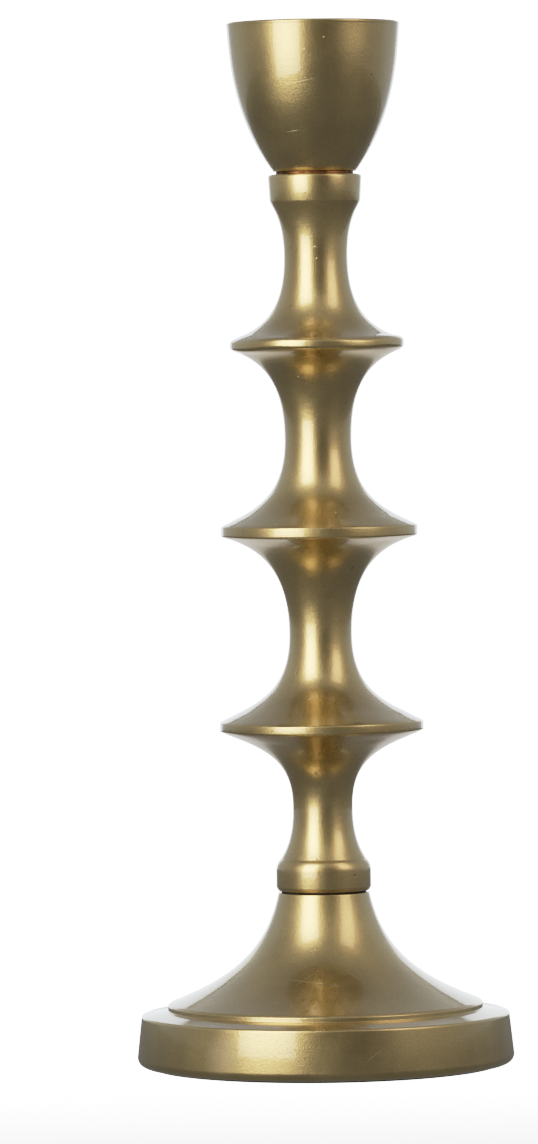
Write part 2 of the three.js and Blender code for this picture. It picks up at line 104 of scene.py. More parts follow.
def lathe_tree():
    """Geometry Nodes that turn an outline round the centre line, as the lathe does."""
    tree = bpy.data.node_groups.new("turned on the lathe", "GeometryNodeTree")
    sockets = tree.interface
    sockets.new_socket("Outline", in_out="INPUT", socket_type="NodeSocketGeometry")
    sockets.new_socket("Sides", in_out="INPUT", socket_type="NodeSocketInt")
    sockets.new_socket("Guide Radius", in_out="INPUT", socket_type="NodeSocketFloat")
    sockets.new_socket("Hand Waver", in_out="INPUT", socket_type="NodeSocketFloat")
    sockets.new_socket("Waver Size", in_out="INPUT", socket_type="NodeSocketFloat")
    sockets.new_socket("Seed", in_out="INPUT", socket_type="NodeSocketFloat")
    sockets.new_socket("Finish", in_out="INPUT", socket_type="NodeSocketMaterial")
    sockets.new_socket("Turned Piece", in_out="OUTPUT", socket_type="NodeSocketGeometry")
    nodes = tree.nodes
    links = tree.links
    given = nodes.new("NodeGroupInput")
    result = nodes.new("NodeGroupOutput")

    back = nodes.new("ShaderNodeMath")
    back.operation = "MULTIPLY"
    back.inputs[1].default_value = -1.0
    links.new(given.outputs["Guide Radius"], back.inputs[0])
    offset = nodes.new("ShaderNodeCombineXYZ")
    links.new(back.outputs[0], offset.inputs["X"])
    centred = nodes.new("GeometryNodeTransform")
    links.new(given.outputs["Outline"], centred.inputs["Geometry"])
    links.new(offset.outputs[0], centred.inputs["Translation"])
    line = nodes.new("GeometryNodeMeshToCurve")
    links.new(centred.outputs[0], line.inputs[0])
    guide = nodes.new("GeometryNodeCurvePrimitiveCircle")
    links.new(given.outputs["Sides"], guide.inputs["Resolution"])
    links.new(given.outputs["Guide Radius"], guide.inputs["Radius"])
    turned = nodes.new("GeometryNodeCurveToMesh")
    links.new(guide.outputs["Curve"], turned.inputs["Curve"])
    links.new(line.outputs[0], turned.inputs["Profile Curve"])
    outwards = nodes.new("GeometryNodeFlipFaces")
    links.new(turned.outputs[0], outwards.inputs[0])
    closed = nodes.new("GeometryNodeMergeByDistance")
    closed.inputs["Distance"].default_value = 2e-6
    links.new(outwards.outputs[0], closed.inputs["Geometry"])

    place = nodes.new("GeometryNodeInputPosition")
    chatter = nodes.new("ShaderNodeTexNoise")
    chatter.noise_dimensions = "4D"
    chatter.inputs["Detail"].default_value = 1.0
    links.new(place.outputs[0], chatter.inputs["Vector"])
    links.new(given.outputs["Waver Size"], chatter.inputs["Scale"])
    links.new(given.outputs["Seed"], chatter.inputs["W"])
    middle = nodes.new("ShaderNodeMath")
    middle.operation = "SUBTRACT"
    middle.inputs[1].default_value = 0.5
    links.new(chatter.outputs[0], middle.inputs[0])
    amount = nodes.new("ShaderNodeMath")
    amount.operation = "MULTIPLY"
    links.new(middle.outputs[0], amount.inputs[0])
    links.new(given.outputs["Hand Waver"], amount.inputs[1])
    by_hand = nodes.new("GeometryNodeInputNamedAttribute")
    by_hand.data_type = "FLOAT"
    by_hand.inputs["Name"].default_value = "by hand"
    share = nodes.new("ShaderNodeMath")
    share.operation = "MULTIPLY"
    links.new(amount.outputs[0], share.inputs[0])
    links.new(by_hand.outputs["Attribute"], share.inputs[1])
    upward = nodes.new("ShaderNodeCombineXYZ")
    links.new(share.outputs[0], upward.inputs["Z"])
    moved = nodes.new("GeometryNodeSetPosition")
    links.new(closed.outputs[0], moved.inputs["Geometry"])
    links.new(upward.outputs[0], moved.inputs["Offset"])

    smooth = nodes.new("GeometryNodeSetShadeSmooth")
    links.new(moved.outputs[0], smooth.inputs["Geometry"])
    real = nodes.new("GeometryNodeRealizeInstances")
    links.new(smooth.outputs[0], real.inputs["Geometry"])
    finish = nodes.new("GeometryNodeSetMaterial")
    links.new(real.outputs[0], finish.inputs["Geometry"])
    links.new(given.outputs["Finish"], finish.inputs["Material"])
    links.new(finish.outputs[0], result.inputs[0])
    return tree


def made_by(tree, name, start_mesh, sizes):
    """Runs a tree on a starting mesh with its named sizes, and keeps the result as a plain mesh."""
    piece = bpy.data.objects.new(name, start_mesh)
    bpy.context.scene.collection.objects.link(piece)
    step = piece.modifiers.new(tree.name, "NODES")
    step.node_group = tree
    for socket in tree.interface.items_tree:
        if socket.in_out == "INPUT" and socket.name in sizes:
            step[socket.identifier] = sizes[socket.name]
    depsgraph = bpy.context.evaluated_depsgraph_get()
    plain = bpy.data.meshes.new_from_object(piece.evaluated_get(depsgraph), depsgraph=depsgraph)
    plain.name = name
    piece.modifiers.clear()
    piece.data = plain
    return piece


def turned_piece(name, outline, finish, waver=0.0, by_hand=None, seed=1.0):
    """One turned piece from its outline in millimetres. The outline starts and ends on the centre
    line, or closes on itself where the piece has a hole right through."""
    start = bpy.data.meshes.new(name + " outline")
    start.from_pydata(
        [(x * MM, -z * MM, 0.0) for x, z in outline],
        [(k, k + 1) for k in range(len(outline) - 1)],
        [],
    )
    share = start.attributes.new("by hand", "FLOAT", "POINT")
    for k, (x, z) in enumerate(outline):
        share.data[k].value = by_hand(x, z) if by_hand else 0.0
    sizes = {
        "Sides": LATHE_SIDES,
        "Guide Radius": 60 * MM,
        "Hand Waver": waver * MM,
        "Waver Size": 45.0,
        "Seed": seed,
        "Finish": finish,
    }
    return made_by(turning, name, start, sizes)


turning = lathe_tree()


def shader(tree, kind, values=None, **settings):
    """Adds one node to a tree, with its settings and the values or links of its sockets."""
    made = tree.nodes.new(kind)
    for key, value in settings.items():
        setattr(made, key, value)
    for key, value in (values or {}).items():
        if isinstance(value, bpy.types.NodeSocket):
            tree.links.new(value, made.inputs[key])
        else:
            made.inputs[key].default_value = value
    return made


def sum_of(tree, kind, a, b, c=None):
    """One step of arithmetic in a tree, such as ADD or MULTIPLY."""
    values = {0: a, 1: b}
    if c is not None:
        values[2] = c
    return shader(tree, "ShaderNodeMath", values, operation=kind).outputs[0]


def ramp(tree, value, low, high, to_low=0.0, to_high=1.0):
    """A smooth step from one number to another as the value goes from low to high."""
    values = {"Value": value, "From Min": low, "From Max": high, "To Min": to_low, "To Max": to_high}
    made = shader(tree, "ShaderNodeMapRange", values, interpolation_type="SMOOTHSTEP")
    return made.outputs[0]


def blend_of(tree, share, a, b):
    """A colour between a and b."""
    made = shader(tree, "ShaderNodeMix", data_type="RGBA")
    for key, value in ((0, share), (6, a), (7, b)):
        if isinstance(value, bpy.types.NodeSocket):
            tree.links.new(value, made.inputs[key])
        else:
            made.inputs[key].default_value = value
    return made.outputs[2]


def bare_material(name):
    """A new material whose tree holds only its output and its main shader."""
    material = bpy.data.materials.new(name)
    material.use_nodes = True
    tree = material.node_tree
    tree.nodes.clear()
    surface = tree.nodes.new("ShaderNodeBsdfPrincipled")
    output = tree.nodes.new("ShaderNodeOutputMaterial")
    tree.links.new(surface.outputs[0], output.inputs["Surface"])
    return material, tree, surface


def lacquered_brass(name, golden, browned, seed, scratches=(), smudge=None):
    """Satin brass under clear lacquer: turning rings, grain, pits, dust, scratches, tarnish."""
    material, tree, surface = bare_material(name)
    place = shader(tree, "ShaderNodeTexCoord").outputs["Object"]
    shifted = shader(tree, "ShaderNodeVectorMath", {0: place, 1: (seed, seed * 0.7, seed * 0.3)})
    somewhere = shifted.outputs[0]
    parts = shader(tree, "ShaderNodeSeparateXYZ", {0: place})
    flat = shader(tree, "ShaderNodeCombineXYZ", {"X": parts.outputs[0], "Y": parts.outputs[1]})
    out = shader(tree, "ShaderNodeVectorMath", {0: flat.outputs[0]}, operation="LENGTH")
    ring_place = shader(
        tree, "ShaderNodeCombineXYZ", {"X": out.outputs["Value"], "Z": parts.outputs[2]}
    )
    drift = shader(
        tree, "ShaderNodeVectorMath", {0: somewhere, "Scale": 0.012}, operation="SCALE"
    )
    ring_place = shader(tree, "ShaderNodeVectorMath", {0: ring_place.outputs[0], 1: drift.outputs[0]})

    # Turning rings, coarse and fine.
    rings = shader(
        tree, "ShaderNodeTexNoise",
        {"Vector": ring_place.outputs[0], "Scale": 1500.0, "Detail": 3.0, "Roughness": 0.7},
    ).outputs[0]
    bands = shader(
        tree, "ShaderNodeTexNoise",
        {"Vector": ring_place.outputs[0], "Scale": 260.0, "Detail": 2.0},
    ).outputs[0]
    # Grain of the lacquer, and slow hollows that make a reflection swim.
    grain = shader(
        tree, "ShaderNodeTexNoise",
        {"Vector": somewhere, "Scale": 2100.0, "Detail": 2.0, "Roughness": 0.6},
    ).outputs[0]
    swim = shader(
        tree, "ShaderNodeTexNoise", {"Vector": somewhere, "Scale": 170.0, "Detail": 1.0}
    ).outputs[0]
    # Tarnish in soft patches.
    patches = shader(
        tree, "ShaderNodeTexNoise",
        {"Vector": somewhere, "Scale": 70.0, "Detail": 4.0, "Roughness": 0.6},
    ).outputs[0]
    # Casting pits: few, round, small.
    pit_cells = shader(tree, "ShaderNodeTexVoronoi", {"Vector": somewhere, "Scale": 210.0})
    pit_kept = shader(tree, "ShaderNodeSeparateColor", {0: pit_cells.outputs["Color"]})
    pit_shape = ramp(tree, pit_cells.outputs["Distance"], 0.05, 0.11, 1.0, 0.0)
    pits = sum_of(tree, "MULTIPLY", pit_shape, ramp(tree, pit_kept.outputs[0], 0.93, 0.95))
    # Dust caught in the lacquer.
    dust_cells = shader(tree, "ShaderNodeTexVoronoi", {"Vector": somewhere, "Scale": 330.0})
    dust_kept = shader(tree, "ShaderNodeSeparateColor", {0: dust_cells.outputs["Color"]})
    dust_shape = ramp(tree, dust_cells.outputs["Distance"], 0.05, 0.09, 1.0, 0.0)
    dust = sum_of(tree, "MULTIPLY", dust_shape, ramp(tree, dust_kept.outputs[1], 0.93, 0.95))
    # Hair scratches: thin slices through the surface, each kept to a short reach.
    lines = None
    for normal, along, centre, reach in scratches:
        lean = shader(
            tree, "ShaderNodeVectorMath", {0: place, 1: normal}, operation="DOT_PRODUCT"
        ).outputs["Value"]
        off = sum_of(tree, "ABSOLUTE", sum_of(tree, "SUBTRACT", lean, along * MM), 0.0)
        thin = ramp(tree, off, 0.02 * MM, 0.09 * MM, 1.0, 0.0)
        near = shader(
            tree, "ShaderNodeVectorMath",
            {0: place, 1: tuple(c * MM for c in centre)}, operation="DISTANCE",
        ).outputs["Value"]
        thin = sum_of(tree, "MULTIPLY", thin, ramp(tree, near, reach * 0.6 * MM, reach * MM, 1.0, 0.0))
        lines = thin if lines is None else sum_of(tree, "MAXIMUM", lines, thin)
    if lines is None:
        lines = sum_of(tree, "MULTIPLY", dust, 0.0)
    # A dull smudge.
    if smudge:
        centre, reach = smudge
        near = shader(
            tree, "ShaderNodeVectorMath",
            {0: place, 1: tuple(c * MM for c in centre)}, operation="DISTANCE",
        ).outputs["Value"]
        near = sum_of(tree, "ADD", near, sum_of(tree, "MULTIPLY", patches, reach * 0.8 * MM))
        dull = ramp(tree, near, reach * 0.6 * MM, reach * 1.5 * MM, 1.0, 0.0)
    else:
        dull = sum_of(tree, "MULTIPLY", dust, 0.0)

    # Colour.
    tone = ramp(tree, patches, 0.36, 0.66)
    tone = sum_of(tree, "MULTIPLY", tone, 0.7)
    tone = sum_of(tree, "ADD", tone, sum_of(tree, "MULTIPLY", bands, 0.3))
    colour = blend_of(tree, tone, browned, golden)
    speckle = ramp(tree, grain, 0.38, 0.62, 0.16, 0.0)
    colour = blend_of(tree, speckle, colour, (0.3, 0.22, 0.09, 1))
    colour = blend_of(tree, sum_of(tree, "MULTIPLY", pits, 0.45), colour, (0.09, 0.062, 0.03, 1))
    bright_lines = sum_of(tree, "MULTIPLY", lines, 0.34)
    pale = sum_of(tree, "MAXIMUM", bright_lines, sum_of(tree, "MULTIPLY", dust, 0.8))
    colour = blend_of(tree, pale, colour, (0.92, 0.82, 0.6, 1))
    colour = blend_of(tree, sum_of(tree, "MULTIPLY", dull, 0.2), colour, (0.5, 0.48, 0.42, 1))
    tree.links.new(colour, surface.inputs["Base Color"])
    # Gloss.
    rough = ramp(tree, patches, 0.3, 0.7, BRASS_ROUGHNESS - 0.03, BRASS_ROUGHNESS + 0.03)
    rough = sum_of(tree, "ADD", rough, sum_of(tree, "MULTIPLY", dull, 0.1))
    rough = sum_of(tree, "ADD", rough, sum_of(tree, "MULTIPLY", pale, 0.2))
    tree.links.new(rough, surface.inputs["Roughness"])
    surface.inputs["Metallic"].default_value = 1.0
    surface.inputs["Coat Weight"].default_value = 1.0
    surface.inputs["Coat Roughness"].default_value = 0.045
    surface.inputs["Coat IOR"].default_value = 1.5
    # Relief: metal first, then the lacquer over it.
    metal = sum_of(tree, "MULTIPLY", rings, 0.0006)
    metal = sum_of(tree, "ADD", metal, sum_of(tree, "MULTIPLY", bands, 0.0014))
    metal = sum_of(tree, "ADD", metal, sum_of(tree, "MULTIPLY", grain, 0.0034))
    metal = sum_of(tree, "SUBTRACT", metal, sum_of(tree, "MULTIPLY", pits, 0.006))
    metal = sum_of(tree, "SUBTRACT", metal, sum_of(tree, "MULTIPLY", lines, 0.002))
    metal = sum_of(tree, "ADD", metal, sum_of(tree, "MULTIPLY", dust, 0.006))
    metal_relief = shader(tree, "ShaderNodeBump", {"Height": metal, "Distance": 0.01, "Strength": 1.0})
    tree.links.new(metal_relief.outputs[0], surface.inputs["Normal"])
    skin = sum_of(tree, "MULTIPLY", grain, 0.0006)
    skin = sum_of(tree, "ADD", skin, sum_of(tree, "MULTIPLY", swim, 0.002))
    skin = sum_of(tree, "ADD", skin, sum_of(tree, "MULTIPLY", bands, 0.0005))
    skin = sum_of(tree, "ADD", skin, sum_of(tree, "MULTIPLY", dust, 0.004))
    skin_relief = shader(tree, "ShaderNodeBump", {"Height": skin, "Distance": 0.01, "Strength": 1.0})
    tree.links.new(skin_relief.outputs[0], surface.inputs["Coat Normal"])
    return material


BRASS_ROUGHNESS = 0.35
GOLDEN = (0.66, 0.515, 0.235, 1)
BROWNED = (0.57, 0.435, 0.2, 1)

base_low, base_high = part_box("base_casting")
FOOT_Z = base_low.z / MM
CROWN_Z = base_high.z / MM
BASE_RADIUS = base_high.x / MM
CASTING_WALL = 3.2
RECESS_RADIUS = BASE_RADIUS - CASTING_WALL
LEDGE_WIDTH = 2
LEDGE_Z = FOOT_Z + 3.5
SHOULDER_Z = FOOT_Z + 9.6
FOOT_ROUND = 2.2
DRUM_LEAN = 1.8
DRUM_ROUND = 0.7
DRUM_TOP = FOOT_Z + 12.1
STEP_RADIUS = BASE_RADIUS - 7.7
STEP_EDGE = 0.3
STEP_FOOT = FOOT_Z + 13.95
STEP_TOP = FOOT_Z + 15.05
CONE_FOOT = FOOT_Z + 15.35
CONE_STEPS = 90
CONE_STEEP = 78
CONE_STEEP_RUN = 0.58
CONE_SHALLOW = 21.5
CONE_SHALLOW_RUN = 0.56
CROWN_RADIUS = 11.4
CROWN_HOLE_RADIUS = 4.5
CROWN_UNDER = CROWN_Z - 5


def cone_curve():
    """The cone's flare, from its foot on the step up to its crown."""
    foot = (STEP_RADIUS, CONE_FOOT)
    crown = (CROWN_RADIUS, CROWN_Z)
    width = foot[0] - crown[0]
    height = crown[1] - foot[1]
    steep = math.radians(CONE_STEEP)
    shallow = math.radians(CONE_SHALLOW)
    upper = (
        crown[0] + CONE_STEEP_RUN * height * math.cos(steep),
        crown[1] - CONE_STEEP_RUN * height * math.sin(steep),
    )
    lower = (
        foot[0] - CONE_SHALLOW_RUN * width * math.cos(shallow),
        foot[1] + CONE_SHALLOW_RUN * width * math.sin(shallow),
    )
    return sweep(foot, lower, upper, crown, CONE_STEPS)


def inside_of(curve, wall, below):
    """The same curve moved in by the wall, kept below a height, from the top down."""
    moved = []
    for a, b in zip(curve, curve[1:]):
        run = Vector((b[0] - a[0], b[1] - a[1])).normalized()
        moved.append((a[0] - run.y * wall, a[1] + run.x * wall))
    return [p for p in reversed(moved) if p[1] < below]


def base_casting():
    cone = cone_curve()
    outline = [(RECESS_RADIUS, FOOT_Z)]
    outline += arc(BASE_RADIUS - FOOT_ROUND, FOOT_Z + FOOT_ROUND, FOOT_ROUND, -90, 0, 10)
    outline += arc(BASE_RADIUS - DRUM_LEAN, DRUM_TOP, DRUM_ROUND, 0, 80, 8)
    outline += [(STEP_RADIUS, STEP_FOOT), (STEP_RADIUS, STEP_TOP)]
    outline += [p for p in cone if p[0] < STEP_RADIUS - STEP_EDGE]
    outline += [(CROWN_HOLE_RADIUS, CROWN_Z), (CROWN_HOLE_RADIUS, CROWN_UNDER)]
    outline += inside_of(cone, CASTING_WALL, CROWN_UNDER - 0.2)
    outline += [(RECESS_RADIUS - LEDGE_WIDTH, SHOULDER_Z), (RECESS_RADIUS - LEDGE_WIDTH, LEDGE_Z)]
    outline += [(RECESS_RADIUS, LEDGE_Z), (RECESS_RADIUS, FOOT_Z)]
    finish = lacquered_brass(
        "base brass", GOLDEN, BROWNED, seed=0.31,
        scratches=(
            ((0.1, 0.0, 0.995), 22.6, (-3, -27, 23), 9),
            ((-0.5, 0.0, 0.866), 23.0, (-6, -24, 26), 5),
            ((0.72, 0.0, 0.69), 12.0, (-9, -26, 25), 3),
            ((0.5, 0.0, 0.866), 24.65, (6, -25, 25), 5),
            ((0.8, 0.0, 0.6), -2.2, (-8, -46, 7), 3),
            ((-0.6, 0.0, 0.8), -1.6, (12, -45.6, 7), 3),
        ),
        smudge=((-26, -39, 6), 6),
    )
    piece = turned_piece("turned_base", eased(outline), finish)
    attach(piece, "foot")
    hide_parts("base_casting")


base_casting()


# ------------------------------------------------------------------------------------------
# Felt pad. A disc of black wool felt glued under the backing board. It stands half a millimetre
# below the metal, so the brass never touches the table.

FELT_RINGS = 12
FELT_FOOT_ROUND = 0.35
FELT_TOP_ROUND = 0.2


def wool_felt():
    material, tree, surface = bare_material("wool felt")
    place = shader(tree, "ShaderNodeTexCoord").outputs["Object"]
    fibres = shader(
        tree, "ShaderNodeTexNoise",
        {"Vector": place, "Scale": 2400.0, "Detail": 5.0, "Roughness": 0.75, "Distortion": 1.4},
    ).outputs[0]
    clumps = shader(
        tree, "ShaderNodeTexNoise", {"Vector": place, "Scale": 320.0, "Detail": 3.0}
    ).outputs[0]
    mixed = sum_of(tree, "MULTIPLY", fibres, 0.6)
    mixed = sum_of(tree, "ADD", mixed, sum_of(tree, "MULTIPLY", clumps, 0.4))
    share = ramp(tree, mixed, 0.35, 0.68)
    colour = blend_of(tree, share, (0.010, 0.009, 0.009, 1), (0.045, 0.042, 0.04, 1))
    tree.links.new(colour, surface.inputs["Base Color"])
    surface.inputs["Roughness"].default_value = 0.95
    surface.inputs["Sheen Weight"].default_value = 0.25
    surface.inputs["Sheen Roughness"].default_value = 0.5
    relief = shader(tree, "ShaderNodeBump", {"Height": mixed, "Distance": 0.0006, "Strength": 0.8})
    tree.links.new(relief.outputs[0], surface.inputs["Normal"])
    return material


def felt_pad():
    low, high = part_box("felt_pad")
    radius = high.x / MM
    bottom = low.z / MM
    top = high.z / MM
    outline = [(0, bottom)]
    for k in range(1, FELT_RINGS):
        outline.append((radius * k / FELT_RINGS, bottom))
    outline += arc(radius - FELT_FOOT_ROUND, bottom + FELT_FOOT_ROUND, FELT_FOOT_ROUND, -90, 0, 5)
    outline += arc(radius - FELT_TOP_ROUND, top - FELT_TOP_ROUND, FELT_TOP_ROUND, 0, 90, 4)
    outline.append((0, top))
    piece = turned_piece("felt_disc", outline, wool_felt())
    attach(piece, "foot")
    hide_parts("felt_pad")


felt_pad()


# ------------------------------------------------------------------------------------------
# Backing board. A stamped disc of brown fibreboard that closes the hollow of the base. It bears
# on the ledge inside the rim and carries the felt. The piece is the plain solid as it was made.


def brown_board():
    material, tree, surface = bare_material("brown fibreboard")
    place = shader(tree, "ShaderNodeTexCoord").outputs["Object"]
    flecks = shader(
        tree, "ShaderNodeTexNoise", {"Vector": place, "Scale": 900.0, "Detail": 6.0, "Roughness": 0.7}
    ).outputs[0]
    clouds = shader(
        tree, "ShaderNodeTexNoise", {"Vector": place, "Scale": 60.0, "Detail": 3.0}
    ).outputs[0]
    mixed = sum_of(tree, "MULTIPLY", flecks, 0.7)
    mixed = sum_of(tree, "ADD", mixed, sum_of(tree, "MULTIPLY", clouds, 0.3))
    share = ramp(tree, mixed, 0.35, 0.65)
    colour = blend_of(tree, share, (0.10, 0.066, 0.036, 1), (0.21, 0.15, 0.09, 1))
    tree.links.new(colour, surface.inputs["Base Color"])
    surface.inputs["Roughness"].default_value = 0.85
    relief = shader(tree, "ShaderNodeBump", {"Height": flecks, "Distance": 0.0003, "Strength": 0.6})
    tree.links.new(relief.outputs[0], surface.inputs["Normal"])
    return material


def give(node, material):
    """Puts a material on every slot of a piece that stays as it was made."""
    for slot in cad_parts[node].material_slots:
        slot.material = material


give("backing_board", brown_board())


# ------------------------------------------------------------------------------------------
# Nut and washers under the crown. Zinc-plated steel: a flat washer, a split spring washer and a
# hexagon nut on the stem's stud, which hold the stem down. They stay as they were made.


def zinc_steel(name, tint, rough):
    material, tree, surface = bare_material(name)
    place = shader(tree, "ShaderNodeTexCoord").outputs["Object"]
    bloom = shader(
        tree, "ShaderNodeTexNoise", {"Vector": place, "Scale": 380.0, "Detail": 4.0}
    ).outputs[0]
    fine = shader(
        tree, "ShaderNodeTexNoise", {"Vector": place, "Scale": 2600.0, "Detail": 2.0}
    ).outputs[0]
    darker = (tint[0] * 0.72, tint[1] * 0.72, tint[2] * 0.7, 1)
    colour = blend_of(tree, ramp(tree, bloom, 0.35, 0.65), darker, tint)
    tree.links.new(colour, surface.inputs["Base Color"])
    tree.links.new(ramp(tree, bloom, 0.3, 0.7, rough - 0.06, rough + 0.06), surface.inputs["Roughness"])
    surface.inputs["Metallic"].default_value = 1.0
    relief = shader(tree, "ShaderNodeBump", {"Height": fine, "Distance": 0.00002, "Strength": 0.5})
    tree.links.new(relief.outputs[0], surface.inputs["Normal"])
    return material


give("base_nut", zinc_steel("plated nut", (0.62, 0.62, 0.60, 1), 0.34))
washer_finish = zinc_steel("plated washers", (0.56, 0.57, 0.57, 1), 0.4)
give("crown_washer", washer_finish)
give("lock_washer", washer_finish)


# ------------------------------------------------------------------------------------------
# Stem. One turned brass casting: a collar, four coves with a thin disc between each two, and a
# collar again. The rims of the discs are eased by hand, the top one most, so it wavers a little.

stem_low, stem_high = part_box("stem")
STEM_Z = stem_low.z / MM
STEM_LENGTH = (stem_high.z - stem_low.z) / MM
STUD_BORE = 4.3
# Each cove: its waist's radius, its height below and above the waist, and its slope in degrees
# at the lower and at the upper edge. Each disc: its radius, its thickness, the round of its rim.
COVES = (
    (7.45, 13.1, 18.9, 62, 23),
    (7.85, 21.7, 24.4, 25, 15),
    (8.38, 21.7, 22.1, 25, 19),
    (7.95, 20.4, 13.9, 16, 68),
)
DISCS = ((25.5, 2.5, 0.5), (24.6, 2.8, 0.5), (21.8, 2.9, 1.1))
COLLAR_EDGE = 11.35
COLLAR_RADIUS = 11.7
TOP_ROUND = 0.7
LOW_COLLAR_RADIUS = 11.85
LOW_COLLAR_BULGE = 1.25
LOW_COLLAR_HALF = 2.8
LOW_COLLAR_MIDDLE = 5.2
STEM_FOOT_RADIUS = 11.4
STEM_FOOT_HEIGHT = 0.9
WAVER_FROM = 19
WAVER_RUN = 2
TOP_DISC_FROM = 130
LOWER_DISC_SHARE = 0.35
STEM_HOLE_DEPTH = 14.8
CUP_HOLE_DEPTH = 11.8


def cove_half(waist, edge, slope, steps=30):
    """Half a cove, from its waist out to the edge of a disc or a collar."""
    angle = math.radians(slope)
    rise = edge[1] - waist[1]
    reach = 0.6 * (edge[0] - waist[0])
    side = 1 if rise > 0 else -1
    return sweep(
        waist,
        (waist[0], waist[1] + 0.65 * rise),
        (edge[0] - reach * math.cos(angle), edge[1] - side * reach * math.sin(angle)),
        edge,
        steps,
    )


def stem_outline():
    shoulder = (LOW_COLLAR_HALF ** 2 + LOW_COLLAR_BULGE ** 2) / (2 * LOW_COLLAR_BULGE)
    shoulder_angle = math.degrees(math.asin(LOW_COLLAR_HALF / shoulder))
    outline = [(0, STEM_HOLE_DEPTH), (STUD_BORE, STEM_HOLE_DEPTH), (STUD_BORE, 0)]
    outline += [(STEM_FOOT_RADIUS, 0), (LOW_COLLAR_RADIUS, STEM_FOOT_HEIGHT)]
    outline += arc(
        LOW_COLLAR_RADIUS - shoulder, LOW_COLLAR_MIDDLE, shoulder, 0, shoulder_angle, 8
    )
    z = LOW_COLLAR_MIDDLE + LOW_COLLAR_HALF
    lower_edge = LOW_COLLAR_RADIUS - LOW_COLLAR_BULGE
    for k, (waist, below, above, slope_below, slope_above) in enumerate(COVES):
        waist_z = z + below
        top = waist_z + above
        inset = DISCS[k - 1][2] / 2 if k else 0
        lower = cove_half((waist, waist_z), (lower_edge - inset, z), slope_below)
        outline += lower[::-1][1:]
        if k < len(DISCS):
            radius, thickness, rounded = DISCS[k]
            upper = cove_half((waist, waist_z), (radius - rounded / 2, top), slope_above)
            outline += upper[1:-1]
            outline += arc(radius - rounded, top + rounded, rounded, -60, 0, 6)
            outline += arc(radius - rounded, top + thickness - rounded, rounded, 0, 60, 6)
            z = top + thickness
            lower_edge = radius
        else:
            upper = cove_half((waist, waist_z), (COLLAR_EDGE, top), slope_above)
            outline += upper[1:]
    outline += arc(COLLAR_RADIUS - TOP_ROUND, STEM_LENGTH - TOP_ROUND, TOP_ROUND, 0, 90, 8)
    hole_end = STEM_LENGTH - CUP_HOLE_DEPTH
    outline += [(STUD_BORE, STEM_LENGTH), (STUD_BORE, hole_end), (0, hole_end)]
    return [(x, z + STEM_Z) for x, z in outline]


def eased_by_hand(x, z):
    """How much an outline point wavers: only the discs' rims, and the top disc most."""
    if x < WAVER_FROM:
        return 0.0
    share = 1.0 if z > STEM_Z + TOP_DISC_FROM else LOWER_DISC_SHARE
    return share * min(1.0, (x - WAVER_FROM) / WAVER_RUN)


def stem():
    finish = lacquered_brass("stem brass", GOLDEN, BROWNED, seed=1.73)
    piece = turned_piece(
        "turned_stem", eased(stem_outline(), 0.12), finish, waver=2.6, by_hand=eased_by_hand, seed=4.0
    )
    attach(piece, "stem_turned")
    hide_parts("stem")


stem()


# ------------------------------------------------------------------------------------------
# Stem washer. A thin ring of dark red-brown vulcanised fibre in the seam under the lower collar,
# which keeps brass from binding on brass. It shows only as a dark line.

SEAM_HOLE_RADIUS = 4.5


def dark_fibre():
    material, tree, surface = bare_material("dark fibre")
    place = shader(tree, "ShaderNodeTexCoord").outputs["Object"]
    pulp = shader(
        tree, "ShaderNodeTexNoise", {"Vector": place, "Scale": 1300.0, "Detail": 4.0}
    ).outputs[0]
    share = ramp(tree, pulp, 0.35, 0.65)
    colour = blend_of(tree, share, (0.018, 0.011, 0.008, 1), (0.04, 0.024, 0.015, 1))
    tree.links.new(colour, surface.inputs["Base Color"])
    surface.inputs["Roughness"].default_value = 0.75
    relief = shader(tree, "ShaderNodeBump", {"Height": pulp, "Distance": 0.0001, "Strength": 0.5})
    tree.links.new(relief.outputs[0], surface.inputs["Normal"])
    return material


def seam_ring(name, node, finish, body):
    """A thin stamped washer with broken edges, where its solid lies."""
    low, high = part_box(node)
    radius = high.x / MM
    bottom = low.z / MM
    top = high.z / MM
    edge = (top - bottom) * 0.3
    outline = [(SEAM_HOLE_RADIUS, bottom)]
    outline += arc(radius - edge, bottom + edge, edge, -90, 0, 5)
    outline += arc(radius - edge, top - edge, edge, 0, 90, 5)
    outline += [(SEAM_HOLE_RADIUS, top), (SEAM_HOLE_RADIUS, bottom)]
    piece = turned_piece(name, outline, finish)
    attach(piece, body)
    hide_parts(node)


seam_ring("fibre_ring", "stem_washer", dark_fibre(), "stem_lift")


# ------------------------------------------------------------------------------------------
# Cup washer. A stamped copper ring in the seam between the stem and the cup. Its edge shows
# reddish and a little oxidised.


def aged_copper():
    material, tree, surface = bare_material("aged copper")
    place = shader(tree, "ShaderNodeTexCoord").outputs["Object"]
    stain = shader(
        tree, "ShaderNodeTexNoise", {"Vector": place, "Scale": 420.0, "Detail": 4.0}
    ).outputs[0]
    share = ramp(tree, stain, 0.38, 0.64)
    colour = blend_of(tree, share, (0.10, 0.045, 0.02, 1), (0.38, 0.17, 0.08, 1))
    tree.links.new(colour, surface.inputs["Base Color"])
    tree.links.new(ramp(tree, stain, 0.3, 0.7, 0.55, 0.36), surface.inputs["Roughness"])
    surface.inputs["Metallic"].default_value = 1.0
    relief = shader(tree, "ShaderNodeBump", {"Height": stain, "Distance": 0.00005, "Strength": 0.5})
    tree.links.new(relief.outputs[0], surface.inputs["Normal"])
    return material


seam_ring("copper_ring", "cup_washer", aged_copper(), "cup_lift")


# ------------------------------------------------------------------------------------------
# Studs. Two lengths of M8 steel rod with a rolled thread and chamfered ends. One holds the stem
# to the nut in the base, the other stands in the top of the stem for the cup to screw onto.

STUD_SIDES = 64
ROWS_A_PITCH = 16


